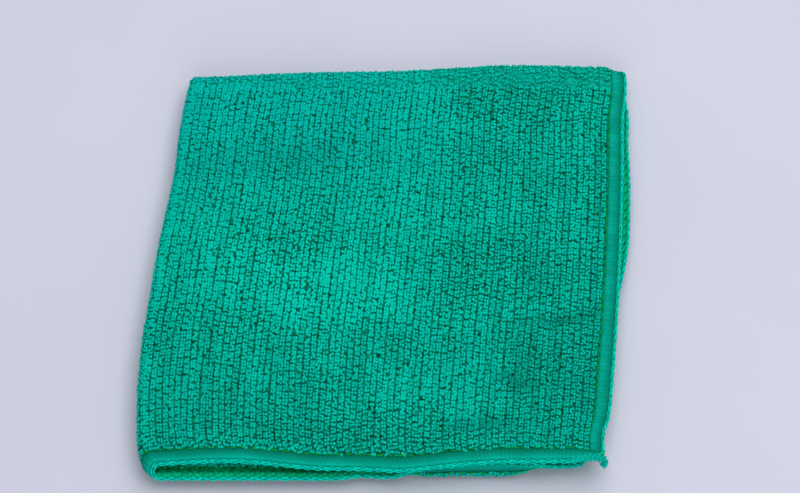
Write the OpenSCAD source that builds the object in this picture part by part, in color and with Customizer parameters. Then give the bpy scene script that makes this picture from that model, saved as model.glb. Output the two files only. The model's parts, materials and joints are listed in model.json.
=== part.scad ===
// Terry cloth towel with overlocked hems, folded twice into a flat square pad.
// The cloth is folded in half along the side fold, then in half again over the back fold.
// Four layers lie on each other: bottom, third, second and top, counted down from the top.
// Origin: centre of the bounding box, at the resting face. +Z up, +Y towards the back fold.

/* [Cloth] */
// Thickness of the terry cloth, pile included
cloth_t = 2.4; // [1.6:0.1:3.2]
// Air between two layers
layer_gap = 0.3; // [0.2:0.05:0.6]
// Depth from the thread tail at the front hem to the outside of the back fold
depth = 158; // [120:0.5:200]
// Width at the back, from the side fold to the top layer's hem
back_w = 150.8; // [110:0.1:190]
// How far the lower half's front hem sits behind the upper half's
set_back = 6; // [3:0.5:12]

/* [Sides] */
// How far the side fold's front end sits to the left of its back end
fold_lean = 10.1; // [0:0.1:20]
// How far the side fold bows outwards midway
fold_bow = 4; // [1:0.1:8]
// How far the top layer's hem leans to the left at the front
top_lean = 10.6; // [0:0.1:20]
// How far the top layer's hem bows outwards midway
top_bow = 2; // [1:0.1:6]
// How far the second layer's hem stands out past the top layer's at the back
second_out = 2.2; // [0:0.1:4]
// How far the second layer's hem leans to the left at the front
second_lean = 23; // [5:0.5:30]
// How far the second layer's hem bows outwards midway
second_bow = 6; // [1:0.1:9]
// How far the lower half's hems lean to the left at the front
lower_lean = 16; // [5:0.5:25]
// How far the lower half's hems bow outwards midway
lower_bow = 2; // [1:0.1:6]

/* [Hems] */
// Width of the overlocked band
hem_w = 5.4; // [4:0.1:7]
// Thickness of the cloth inside the band
lip_t = 1.3; // [0.8:0.1:1.4]
// Thickness of the looper thread cover on each side of the band
looper_t = 0.45; // [0.2:0.05:0.5]
// Depth of the purl, where the two loopers meet over the raw edge
purl_t = 0.6; // [0.4:0.1:0.8]
// Width of the line of needle thread
needle_w = 0.5; // [0.3:0.05:0.7]
// Diameter of the thread chain left at a corner
tail_d = 2; // [1.4:0.1:2.4]
// Length of the thread chain left at a corner
tail_len = 10; // [6:0.5:14]

/* [Hidden] */
cloth_color = [0.03, 0.62, 0.53];
needle_color = [0.12, 0.6, 0.28];
looper_color = [0.05, 0.68, 0.58];
sweep_fn = 720;
ring_fn = 96;
side_steps = 20;
// Clearance between pieces that don't run into each other
join = 0.1;
// A side hem's straight run is slimmer than its turn by this much a side, and runs this far into it
slim = 0.06;
run_in = 0.3;

pitch = cloth_t + layer_gap;
height = 4 * cloth_t + 3 * layer_gap;
mid_z = height / 2;
side_fold_r = layer_gap / 2 + cloth_t;
outer_r = mid_z;
inner_r = side_fold_r;
band_t = lip_t + 2 * looper_t;

// Rows: bottom, third, second and top layer
BOTTOM = 0;
THIRD = 1;
SECOND = 2;
TOP = 3;
function layer_z(layer) = layer * pitch;
function centre_z(layer) = layer_z(layer) + cloth_t / 2;

hinge_y = depth / 2;
back_y = hinge_y - outer_r;
upper_front_y = -depth / 2 + tail_d + join;
lower_front_y = upper_front_y + set_back;
function front_y(layer) = layer >= SECOND ? upper_front_y : lower_front_y;

// A side edge is a shallow arc from its front end to its back end, bowing outwards.
// It is held as [centre, radius, angle at the front end, angle at the back end].
function turn(v) = let (a = atan2(v.y, v.x)) a < -90 ? a + 360 : a;
function side_edge(front, back, bow, side) =
    let (
        along = back - front,
        chord = norm(along),
        radius = (chord * chord / 4 + bow * bow) / (2 * bow),
        inwards = [-along.y, along.x] * side / chord,
        centre = (front + back) / 2 + inwards * (radius - bow)
    )
    [centre, radius, turn(front - centre), turn(back - centre)];
LEFT = -1;
RIGHT = 1;

// Plan of the side edges, before the whole is centred on the origin
fold_raw = side_edge([-fold_lean, upper_front_y], [0, back_y], fold_bow, LEFT);
top_raw = side_edge([back_w - top_lean, upper_front_y], [back_w, back_y], top_bow, RIGHT);
second_raw = side_edge(
    [back_w + second_out - second_lean, upper_front_y], [back_w + second_out, back_y],
    second_bow, RIGHT
);
third_raw = side_edge(
    [back_w + second_out - lower_lean, lower_front_y], [back_w + second_out, back_y],
    lower_bow, RIGHT
);
bottom_raw = side_edge(
    [back_w - lower_lean, lower_front_y], [back_w, back_y],
    lower_bow, RIGHT
);
// An arc's furthest reach to one side is its radius, unless it already leans away at an end.
function reach(edge, side) =
    let (quiet = side == LEFT ? 180 : 0, low = min(edge[2], edge[3]), high = max(edge[2], edge[3]))
    edge[0].x + edge[1] * cos(min(max(quiet, low), high));
x_low = reach(fold_raw, LEFT);
x_high = max([for (edge = [top_raw, second_raw, third_raw, bottom_raw]) reach(edge, RIGHT)]);
shift_x = -(x_low + x_high) / 2;
function centred(edge) = [edge[0] + [shift_x, 0], edge[1], edge[2], edge[3]];
fold_edge = centred(fold_raw);
top_edge = centred(top_raw);
second_edge = centred(second_raw);
third_edge = centred(third_raw);
bottom_edge = centred(bottom_raw);
function hem_edge(layer) = [bottom_edge, third_edge, second_edge, top_edge][layer];

// Where a side edge, moved inwards by inset, crosses the line at y
function angle_at(edge, y, inset) =
    let (a = asin((y - edge[0].y) / (edge[1] - inset))) edge[2] > 90 ? 180 - a : a;
function x_at(edge, y, inset) = edge[0].x + (edge[1] - inset) * cos(angle_at(edge, y, inset));
function edge_points(edge, y0, y1, inset) = [
    for (i = [0 : side_steps])
        let (y = y0 + (y1 - y0) * i / side_steps) [x_at(edge, y, inset), y]
];

// Outline of a layer between its folds and a line inset from its hems
function layer_outline(layer, inset) = concat(
    edge_points(fold_edge, front_y(layer) + inset, back_y, side_fold_r),
    edge_points(hem_edge(layer), back_y, front_y(layer) + inset, inset)
);

// Sections of the hem, with the raw edge at x = 0, the cloth towards +x and its face towards +y
module needle_section() {
    for (side = [0, 1])
        mirror([0, side])
            translate([hem_w - needle_w, lip_t / 2 + slim]) square([needle_w - join, looper_t - 2 * slim]);
}

module face_looper_section() {
    translate([slim, lip_t / 2 + slim])
        square([hem_w - needle_w - join - 2 * slim, looper_t - 2 * slim]);
    translate([slim, join / 2 + slim])
        square([purl_t - 2 * slim, band_t / 2 - join / 2 - 2 * slim]);
}

module back_looper_section() {
    mirror([0, 1]) face_looper_section();
}

module hem_section(thread) {
    if (thread == "needle") needle_section();
    if (thread == "face") face_looper_section();
    if (thread == "back") back_looper_section();
}

// Sweeps a section, x inwards and y up, along a side edge between two y positions
module along_side(edge, y0, y1) {
    a0 = angle_at(edge, y0, 0);
    a1 = angle_at(edge, y1, 0);
    translate([edge[0].x, edge[0].y, 0])
        rotate([0, 0, min(a0, a1)])
            rotate_extrude(angle = abs(a1 - a0), $fn = sweep_fn)
                translate([edge[1], 0]) mirror([1, 0]) children();
}

// A half ring round the origin, open towards +x, which joins two layers at a side fold
module half_ring(r0, r1) {
    difference() {
        intersection() {
            circle(r = r1, $fn = ring_fn);
            translate([-r1, -r1]) square([r1, 2 * r1]);
        }
        circle(r = r0, $fn = ring_fn);
    }
}

// Round a side fold the lip is thinner, so that its curved sweep stays inside the straight hem band
fold_lip_t = 0.8;

// The cloth's middle line round a side fold
side_mid_r = side_fold_r - cloth_t / 2;
function side_centre_z(lower_layer) = layer_z(lower_layer) + cloth_t + layer_gap / 2;

// Cloth round a side fold: full thickness behind the hem band, a thinner lip inside it
module side_fold(lower_layer, y0) {
    color(cloth_color) translate([0, 0, side_centre_z(lower_layer)]) {
        along_side(fold_edge, y0 + hem_w + join, back_y - join)
            translate([side_fold_r, 0])
                half_ring(side_mid_r - cloth_t / 2, side_mid_r + cloth_t / 2);
        along_side(fold_edge, y0 + purl_t + join, y0 + hem_w + join + run_in)
            translate([side_fold_r, 0])
                half_ring(side_mid_r - fold_lip_t / 2, side_mid_r + fold_lip_t / 2);
    }
}

// A band of the front hem: along the upper layer, round the side fold and back along the lower
// layer. y0 and y1 are measured back from the hem's raw edge, and v0 and v1 outwards from the
// cloth's middle, towards its face, which is the outside of the fold.
module front_band(lower_layer, y0, y1, v0, v1) {
    front = front_y(lower_layer);
    fold_x = x_at(fold_edge, front, side_fold_r);
    r0 = side_mid_r + v0;
    r1 = side_mid_r + v1;
    function run(row) = x_at(hem_edge(row), front, 0) - fold_x;
    translate([fold_x, front + y1, side_centre_z(lower_layer)])
        rotate([90, 0, 0])
            linear_extrude(y1 - y0) {
                half_ring(r0, r1);
                translate([0, r0]) square([run(lower_layer + 1), r1 - r0]);
                translate([0, -r1]) square([run(lower_layer), r1 - r0]);
            }
}

// One thread of the side hem along one layer, behind the front hem
module side_hem_straight(layer, thread, face_up) {
    translate([0, 0, centre_z(layer)])
        along_side(hem_edge(layer), front_y(layer) + hem_w + join, back_y + run_in)
            mirror([0, face_up ? 0 : 1]) hem_section(thread);
}

// A quarter of the back fold in the plane across it: x backwards and y up from the fold's centre.
// up is 1 for the quarter above the middle and -1 for the one below it.
module fold_quarter(r0, r1, up) {
    cut = layer_gap / 2;
    mirror([0, up > 0 ? 0 : 1])
        intersection() {
            difference() {
                circle(r = r1, $fn = ring_fn);
                if (r0 > cut) circle(r = r0, $fn = ring_fn);
            }
            translate([0, cut]) square([r1, r1]);
        }
}

// Sweeps a quarter of the back fold along X between two positions
module along_back(x0, x1) {
    translate([x0, back_y, mid_z])
        rotate([90, 0, 90]) linear_extrude(x1 - x0) children();
}

// Cloth round the back fold: r is its outer radius, full thickness up to the side hem
module back_fold(r, up, edge) {
    hem_x = x_at(edge, back_y, 0);
    middle = r - cloth_t / 2;
    color(cloth_color) {
        along_back(x_at(fold_edge, back_y, 0), hem_x - hem_w)
            fold_quarter(r - cloth_t, r, up);
        along_back(hem_x - hem_w, hem_x - purl_t - join)
            fold_quarter(middle - lip_t / 2, middle + lip_t / 2, up);
    }
}

// One thread of a side hem round the back fold. outside is true where the face is the outside.
module hem_round_back_fold(r, up, edge, thread, outside) {
    hem_x = x_at(edge, back_y, 0);
    middle = r - cloth_t / 2;
    function radius(v) = middle + (outside ? v : -v);
    module band(x0, x1, v0, v1) {
        along_back(hem_x - x0, hem_x - x1)
            fold_quarter(min(radius(v0), radius(v1)), max(radius(v0), radius(v1)), up);
    }
    side = thread == "back" ? -1 : 1;
    if (thread == "needle") {
        band(hem_w - join, hem_w - needle_w, lip_t / 2, band_t / 2);
        band(hem_w - join, hem_w - needle_w, -lip_t / 2, -band_t / 2);
    }
    else {
        band(hem_w - needle_w - join, 0, side * lip_t / 2, side * band_t / 2);
        band(purl_t, 0, side * join / 2, side * band_t / 2);
    }
}

// A layer: full thickness inside the hems, and a thinner lip where the threads cover it
module layer(row) {
    color(cloth_color) {
        translate([0, 0, layer_z(row)])
            linear_extrude(cloth_t) polygon(layer_outline(row, hem_w));
        translate([0, 0, centre_z(row) - lip_t / 2])
            linear_extrude(lip_t) polygon(layer_outline(row, purl_t + join));
    }
}

function thread_color(thread) = thread == "needle" ? needle_color : looper_color;

// One thread of a half's front hem
module front_hem(lower_layer, thread) {
    cover_w = hem_w - needle_w - join;
    side = thread == "back" ? -1 : 1;
    module band(y0, y1, v0, v1) {
        front_band(lower_layer, y0, y1, min(v0, v1), max(v0, v1));
    }
    color(thread_color(thread)) {
        if (thread == "needle") {
            band(hem_w - needle_w, hem_w - join, lip_t / 2, band_t / 2);
            band(hem_w - needle_w, hem_w - join, -lip_t / 2, -band_t / 2);
        }
        else {
            band(0, cover_w, side * lip_t / 2, side * band_t / 2);
            band(0, purl_t, side * join / 2, side * band_t / 2);
        }
    }
}

// The side hem of a layer, and its share of the turn round the back fold.
// The face is up on the top and third layers and down on the other two.
module side_hem(row, thread) {
    outermost = row == TOP || row == BOTTOM;
    color(thread_color(thread)) {
        side_hem_straight(row, thread, row == TOP || row == THIRD);
        hem_round_back_fold(
            outermost ? outer_r : inner_r, row >= SECOND ? 1 : -1, hem_edge(row), thread, outermost
        );
    }
}

// A chain of spare thread left at a hem's corner, lying along the hem
module thread_tail(end, tail) {
    ball = tail_d / 2;
    color(looper_color)
        translate(end)
            rotate([0, -90, 0]) {
                cylinder(h = tail - tail_d, r = ball, $fn = 32);
                sphere(r = ball, $fn = 32);
                translate([0, 0, tail - tail_d]) sphere(r = ball, $fn = 32);
            }
}

module top_layer() { layer(TOP); }
module second_layer() { layer(SECOND); }
module third_layer() { layer(THIRD); }
module bottom_layer() { layer(BOTTOM); }
module side_fold_upper() { side_fold(SECOND, upper_front_y); }
module side_fold_lower() { side_fold(BOTTOM, lower_front_y); }
module outer_back_fold_upper() { back_fold(outer_r, 1, top_edge); }
module outer_back_fold_lower() { back_fold(outer_r, -1, bottom_edge); }
module inner_back_fold_upper() { back_fold(inner_r, 1, second_edge); }
module inner_back_fold_lower() { back_fold(inner_r, -1, third_edge); }
module front_hem_upper_needle_thread() { front_hem(SECOND, "needle"); }
module front_hem_upper_face_looper() { front_hem(SECOND, "face"); }
module front_hem_upper_back_looper() { front_hem(SECOND, "back"); }
module front_hem_lower_needle_thread() { front_hem(BOTTOM, "needle"); }
module front_hem_lower_face_looper() { front_hem(BOTTOM, "face"); }
module front_hem_lower_back_looper() { front_hem(BOTTOM, "back"); }
module side_hem_top_needle_thread() { side_hem(TOP, "needle"); }
module side_hem_top_face_looper() { side_hem(TOP, "face"); }
module side_hem_top_back_looper() { side_hem(TOP, "back"); }
module side_hem_second_needle_thread() { side_hem(SECOND, "needle"); }
module side_hem_second_face_looper() { side_hem(SECOND, "face"); }
module side_hem_second_back_looper() { side_hem(SECOND, "back"); }
module side_hem_third_needle_thread() { side_hem(THIRD, "needle"); }
module side_hem_third_face_looper() { side_hem(THIRD, "face"); }
module side_hem_third_back_looper() { side_hem(THIRD, "back"); }
module side_hem_bottom_needle_thread() { side_hem(BOTTOM, "needle"); }
module side_hem_bottom_face_looper() { side_hem(BOTTOM, "face"); }
module side_hem_bottom_back_looper() { side_hem(BOTTOM, "back"); }

// The top layer's chain lies against its front hem, at the right-hand corner.
module corner_thread_tail_top() {
    thread_tail(
        [x_at(top_edge, upper_front_y, 0) - tail_d / 2, upper_front_y - tail_d / 2 - join, centre_z(TOP)],
        tail_len
    );
}

// The second layer's is a short knot past the end of its front hem.
module corner_thread_tail_second() {
    thread_tail(
        [x_at(second_edge, upper_front_y, 0) + tail_len / 2 + join - tail_d / 2,
         upper_front_y + tail_d / 2, centre_z(SECOND)],
        tail_len / 2
    );
}

top_layer();
second_layer();
third_layer();
bottom_layer();
side_fold_upper();
side_fold_lower();
outer_back_fold_upper();
outer_back_fold_lower();
inner_back_fold_upper();
inner_back_fold_lower();
front_hem_upper_needle_thread();
front_hem_upper_face_looper();
front_hem_upper_back_looper();
front_hem_lower_needle_thread();
front_hem_lower_face_looper();
front_hem_lower_back_looper();
side_hem_top_needle_thread();
side_hem_top_face_looper();
side_hem_top_back_looper();
side_hem_second_needle_thread();
side_hem_second_face_looper();
side_hem_second_back_looper();
side_hem_third_needle_thread();
side_hem_third_face_looper();
side_hem_third_back_looper();
side_hem_bottom_needle_thread();
side_hem_bottom_face_looper();
side_hem_bottom_back_looper();
corner_thread_tail_top();
corner_thread_tail_second();
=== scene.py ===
"""A looped terry towel with overlocked hems, folded twice, lying on a pale table.

The towel is one surface. A point on it has a profile place p, which runs across the towel from one
side hem over the side fold to the other side hem, and a path place w, which runs from the front of
the lower half, over the back fold, to the front of the upper half. Sizes are in millimetres.
"""
import json
import math

import bmesh
import bpy
import numpy as np
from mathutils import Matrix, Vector


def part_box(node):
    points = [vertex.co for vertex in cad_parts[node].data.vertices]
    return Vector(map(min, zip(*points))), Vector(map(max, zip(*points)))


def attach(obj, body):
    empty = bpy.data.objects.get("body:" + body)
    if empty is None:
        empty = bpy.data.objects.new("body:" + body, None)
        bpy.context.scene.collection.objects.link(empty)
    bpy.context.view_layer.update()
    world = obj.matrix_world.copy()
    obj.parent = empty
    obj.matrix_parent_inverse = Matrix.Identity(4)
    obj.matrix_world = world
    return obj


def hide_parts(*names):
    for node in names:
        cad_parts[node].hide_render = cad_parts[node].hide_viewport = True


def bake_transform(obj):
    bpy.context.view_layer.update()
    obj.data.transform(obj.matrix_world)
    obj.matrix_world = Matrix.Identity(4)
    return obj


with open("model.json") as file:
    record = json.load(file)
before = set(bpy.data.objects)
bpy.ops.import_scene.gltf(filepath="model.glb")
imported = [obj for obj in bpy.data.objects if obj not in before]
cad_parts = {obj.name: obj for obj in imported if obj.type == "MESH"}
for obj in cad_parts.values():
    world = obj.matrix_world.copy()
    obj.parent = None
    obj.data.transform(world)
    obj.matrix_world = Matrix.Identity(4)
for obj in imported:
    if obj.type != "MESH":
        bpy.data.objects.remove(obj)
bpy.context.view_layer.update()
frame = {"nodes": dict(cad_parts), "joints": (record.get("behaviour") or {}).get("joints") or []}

MM = 0.001
PI = math.pi

# ---- sizes


def low(node):
    """A CAD node's lowest corner."""
    return np.array(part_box(node)[0]) / MM


def high(node):
    """A CAD node's highest corner."""
    return np.array(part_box(node)[1]) / MM


def middle_z(node):
    """Height of the middle of a CAD node."""
    return (low(node)[2] + high(node)[2]) / 2


MID_Z = frame["joints"][0]["pos_m"][2] / MM
BACK_Y = high("top_layer")[1]
FRONT_UPPER = low("front_hem_upper_face_looper")[1]
FRONT_LOWER = low("front_hem_lower_face_looper")[1]
CLOTH_T = high("top_layer")[2] - low("top_layer")[2]

# Radii of the cloth's middle round the back fold, and round the side folds
OUTER_R = middle_z("top_layer") - MID_Z
INNER_R = middle_z("second_layer") - MID_Z
SIDE_R = (OUTER_R - INNER_R) / 2

# Half thickness of the knitted ground, and height of the pile's tips over the cloth's middle
GROUND_HALF = 0.48
PILE_TOP = CLOTH_T / 2
# The overlock: its stitch, width and half thickness, and how far in its needle stitches are
STITCH = 3.4
HEM_W = 5.4
BAND_HALF = 1.1
NEEDLE_IN = 5.15

# How far in front of the back fold its own piece starts, and a quarter of its turn on the path
TURN_REACH = 4.0
QUARTER = OUTER_R * PI / 2
UPPER_END = QUARTER + BACK_Y - FRONT_UPPER
LOWER_END = -(QUARTER + BACK_Y - FRONT_LOWER)
TURN_END = QUARTER + TURN_REACH

# Profile places: raw edge of the outer layer, side fold from 1 to 2, raw edge of the inner layer
OUTER_EDGE, FOLD_START, FOLD_END, INNER_EDGE = 0.0, 1.0, 2.0, 3.0


def smooth(t):
    """0 up to t = 0 and 1 from t = 1, with a soft rise between."""
    t = np.clip(t, 0, 1)
    return t * t * (3 - 2 * t)


def hill(x, middle, width):
    """A smooth hump of height 1."""
    return np.exp(-(((x - middle) / width) ** 2))


# Places count as the same, or as near, within these
SAME = 0.01
NEAR = 1.0


def edge_line(node, side):
    """A quadratic in y through the outermost vertices of a CAD node, on side 1 (right) or -1 (left)."""
    points = np.array([v.co for v in frame["nodes"][node].data.vertices]) / MM
    points = points[points[:, 1] <= BACK_Y + SAME]
    kept = []
    for x, y, _ in points:
        near = points[np.abs(points[:, 1] - y) < NEAR]
        if side * x >= (side * near[:, 0]).max() - SAME:
            kept.append((y, x))
    kept = np.array(kept)
    return np.poly1d(np.polyfit(kept[:, 0], kept[:, 1], 2))


FOLD_LINE = edge_line("side_fold_upper", -1)
EDGES = {
    "top": edge_line("side_hem_top_face_looper", 1),
    "second": edge_line("side_hem_second_back_looper", 1),
    "third": edge_line("side_hem_third_back_looper", 1),
    "bottom": edge_line("side_hem_bottom_face_looper", 1),
}


# Range of the wavelengths in a set, as shares of its length
WAVE_SPREAD = (0.7, 1.5)


def waves(x, y, seed, length, count=5):
    """Smooth noise from about -1 to 1: a sum of sine waves in seeded directions."""
    rng = np.random.default_rng(seed)
    total = 0
    for _ in range(count):
        angle = rng.uniform(0, PI)
        phase = rng.uniform(0, 2 * PI)
        k = 2 * PI / (length * rng.uniform(*WAVE_SPREAD))
        total = total + np.sin(k * (x * math.cos(angle) + y * math.sin(angle)) + phase)
    return total / math.sqrt(count * 2)


def wave_sets(x, y, sets):
    """Sum of sets of waves, each with a height, a seed and a length."""
    return sum(height * waves(x, y, seed, length) for height, seed, length in sets)


# ---- how the cloth lies

# Most shapes below are sums of hills (middle, width, height) and steps (start, width, height). A step
# rises to its height over its width, towards lower x or y if the width is negative.


def hills(x, *places):
    """Sum of hills along x."""
    return sum(height * hill(x, middle, width) for middle, width, height in places)


def steps(x, *places):
    """Sum of steps along x."""
    return sum(height * smooth((x - start) / width) for start, width, height in places)


# Shallow creases in the top layer: middle x, middle y, half length, half width, depth, turn in degrees
CREASES = (
    (56, -22, 12, 2.0, 1.3, 9),
    (39, -45, 8, 2.6, 0.9, -28),
    (26, -62, 12, 2.6, 1.0, 3),
    (-42, 41, 32, 6.0, 0.6, 4),
    (-34, -47, 20, 5.0, 0.4, -65),
)


def crease_depth(x, y):
    """How deep the creases are at a place of the top layer."""
    total = 0
    for cx, cy, length, width, depth, turn in CREASES:
        c, s = math.cos(math.radians(turn)), math.sin(math.radians(turn))
        along = (x - cx) * c + (y - cy) * s
        across = -(x - cx) * s + (y - cy) * c
        total = total + depth * hill(along, 0, length) * hill(across, 0, width)
    return total


# Soft ripples of the loose cloth, which fade out before the back fold
RIPPLE_MEAN = 0.55
RIPPLE_WAVES = ((0.40, 11, 62), (0.22, 12, 27))
RIPPLE_FADE = 22


def ripple(x, y):
    """Height of the loose cloth's soft ripples."""
    rise = RIPPLE_MEAN + wave_sets(x, y, RIPPLE_WAVES)
    return np.maximum(rise, 0) * smooth((BACK_Y - TURN_REACH - y) / RIPPLE_FADE)


# The top layer's lift at its front edge
MOUTH_ARCH = (-54, 21, 1.9)
RIGHT_RISE = (-5, 30, 1.7)
FRONT_LIFT = 0.2
# Lengths behind the front edge over which that lift fades out, and ripples and creases grow
ARCH_DEPTH = 20
LOOSE_DEPTH = 14
# The top layer's rise before the back fold, and where along y it grows
BACK_ARCH = (38, 28, 1.8)
BACK_ARCH_GROWTH = (BACK_Y - 28, 26, 1.0)


def outer_lift(x, y):
    """How far the top layer stands above its place. It arches over the mouth and over the back fold."""
    arch = hills(x, MOUTH_ARCH) + steps(x, RIGHT_RISE) + FRONT_LIFT
    front = smooth((FRONT_UPPER + ARCH_DEPTH - y) / ARCH_DEPTH)
    inside = smooth((y - FRONT_UPPER) / LOOSE_DEPTH)
    back = hills(x, BACK_ARCH) * steps(y, BACK_ARCH_GROWTH)
    loose = ripple(x, y) * (0.35 + 0.65 * inside) - crease_depth(x, y) * inside * 0.8
    return loose + arch * front + back


# The second layer's droop at its front, and its sag within SIDE_SAG_REACH of its raw side edge
FRONT_DROOP = ((FRONT_UPPER + 9, -3.5, 2.6), (FRONT_UPPER + 5, -5, -1.6))
SIDE_SAG = 0.9
SIDE_SAG_REACH = 9
SIDE_SAG_GROWTH = (BACK_Y - 8, -15, 1.0)
# Share of the top layer's ripples that the second layer has
INNER_RIPPLE = 0.45


def inner_lift(x, y):
    """How far the second layer stands above its place. It droops at the front and at the right."""
    droop = steps(y, *FRONT_DROOP) * (1 - dip_share(x))
    from_edge = EDGES["second"](y) - x
    sag = SIDE_SAG * smooth((SIDE_SAG_REACH - from_edge) / SIDE_SAG_REACH) * steps(y, SIDE_SAG_GROWTH)
    return INNER_RIPPLE * ripple(x, y) * smooth((y - FRONT_UPPER) / LOOSE_DEPTH) - droop - sag


# The right part of the second layer's front dips over the layers below it and then curls up.
# Lengths are from its raw edge, and angles are in radians.
CURL_LENGTH = 15.0
CURL_TURN = 10.0
CURL_DIP_WIDTH = 2.5
CURL_TURN_WIDTH = 3.4
CURL_DIP = 1.15
CURL_RISE = 1.6
CURL_STEPS = 24
# Where along x the dip and the curl grow, and where they fade again
DIP_GROWTH = (-12, 16, 1.0)
RISE_GROWTH = (-10, 24, 1.0)
CURL_FADE = (36, 22, 0.72)


def dip_share(x):
    """Share of its dip that the second layer's front has at x."""
    return steps(x, DIP_GROWTH) * (1 - steps(x, CURL_FADE))


def rise_share(x):
    """Share of its curl upwards that the second layer's front has at x."""
    return steps(x, RISE_GROWTH) * (1 - steps(x, CURL_FADE))


def curl(x, from_edge):
    """How far the curled front of the second layer is behind and above its flat place."""
    from_edge = np.clip(from_edge, 0, CURL_LENGTH)
    step = (CURL_LENGTH - from_edge) / CURL_STEPS
    behind, above = 0 * from_edge, 0 * from_edge
    for k in range(CURL_STEPS):
        place = from_edge + (k + 0.5) * step
        turned = smooth((CURL_TURN - place) / CURL_TURN_WIDTH)
        dip = CURL_DIP * dip_share(x) * (smooth((CURL_LENGTH - place) / CURL_DIP_WIDTH) - turned)
        angle = CURL_RISE * rise_share(x) * turned - dip
        behind = behind + (1 - np.cos(angle)) * step
        above = above + np.sin(angle) * step
    return behind, above


HEM_START = EDGES["top"](BACK_Y) - HEM_W - 0.6
# How far each line of the towel stands off its smooth CAD line: its hills, then its steps
OFF_LINE = {
    # to the right, along y: the front half stands out to the left and the back half to the right
    "side fold": (
        ((33, 24, 1.9), (-60, 18, -2.2), (-31, 15, -1.5), (-46, 8, -0.5)),
        ((FRONT_UPPER + 8.5, -3, 1.6),)),
    # backwards, along x: the hem's end stays further forward
    "back fold": (((-72, 30, -2.0),), ((-10, 60, 2.0), (HEM_START, 3, -1.7))),
    # backwards, along x
    "top front": (
        ((-54, 18, 0.6), (-24, 14, -1.0), (9, 21, -2.4)),
        ((0, 15, 1.0), (30, 20, -0.4), (56, 12, 0.7))),
    # backwards, along x, before its front curls
    "second front": (((-7, 7, 1.4), (10, 7, -0.5), (2.5, 3.5, -0.9)), ((36, 22, 4.8),)),
    # to the right, along y: the raw side edge
    "second side": (((6, 19, 1.3), (52, 13, -1.0), (-25, 10, 0.6)), ()),
    # backwards, along the distance from the front: the hem narrows at the top layer's corner
    "corner front": (((5.5, 2.6, -2.2),), ((3.5, -3.5, 2.4),)),
    # to the left, along y: the waist behind the top layer's corner
    "corner side": (((FRONT_UPPER + 9.5, 6, 1.3),), ((FRONT_UPPER + 4, -4, 0.3),)),
}
# The top layer's front right corner starts here
CORNER_GROWTH = (58, 11, 1.0)
# The front end of the side fold turns in further
FOLD_TIP = 2.0
FOLD_TIP_START = FRONT_UPPER + 5
FOLD_TIP_LENGTH = 5
BACK_SHIFT = 0.9
BACK_WAVES = ((0.3, 21, 40),)
# The second layer's front edge stands forward, and its dip and its curl draw in more cloth
SECOND_FORWARD = 2.7
DIP_DRAW = 0.6
RISE_DRAW = 5.9


def off_line(line, x):
    """How far a line of the towel stands off its smooth line at a place along it."""
    its_hills, its_steps = OFF_LINE[line]
    return hills(x, *its_hills) + steps(x, *its_steps)


def fold_bulge(y):
    """How far the side fold stands out of its smooth line, to the right."""
    return off_line("side fold", y) + FOLD_TIP * smooth((FOLD_TIP_START - y) / FOLD_TIP_LENGTH) ** 2


def back_shift(x):
    """How far the back fold stands behind its place."""
    return BACK_SHIFT + off_line("back fold", x) + wave_sets(x, 0 * x, BACK_WAVES)


def inner_front_shift(x):
    """How far the second layer's front edge stands behind its place, before it curls."""
    return off_line("second front", x) - SECOND_FORWARD - DIP_DRAW * dip_share(x) - RISE_DRAW * rise_share(x)


# Raw side edges against the CAD hems' lines. Near the back fold the outer ones stand out.
OUTER_EDGE_SHIFT = -0.5
OUTER_BACK_STEP = (BACK_Y - 18, 16, 1.2)
TURN_EDGE_INSET = 1.3
INNER_BACK_STEP = (BACK_Y - 14, 12, -1.6)
INNER_UPPER_SHIFT = -0.25
# Share of the side fold's bulge that the lower half follows
LOWER_BULGE = 0.6
# How much wider the side fold gets where its layers are lifted apart
FOLD_WIDENING = 0.45
# The shifts of the front edges fade out over these distances behind the front
OUTER_SHIFT_FADE = (FRONT_UPPER + 24, -24, 1.0)
INNER_SHIFT_FADE = (FRONT_UPPER + 70, -60, 1.0)


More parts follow.
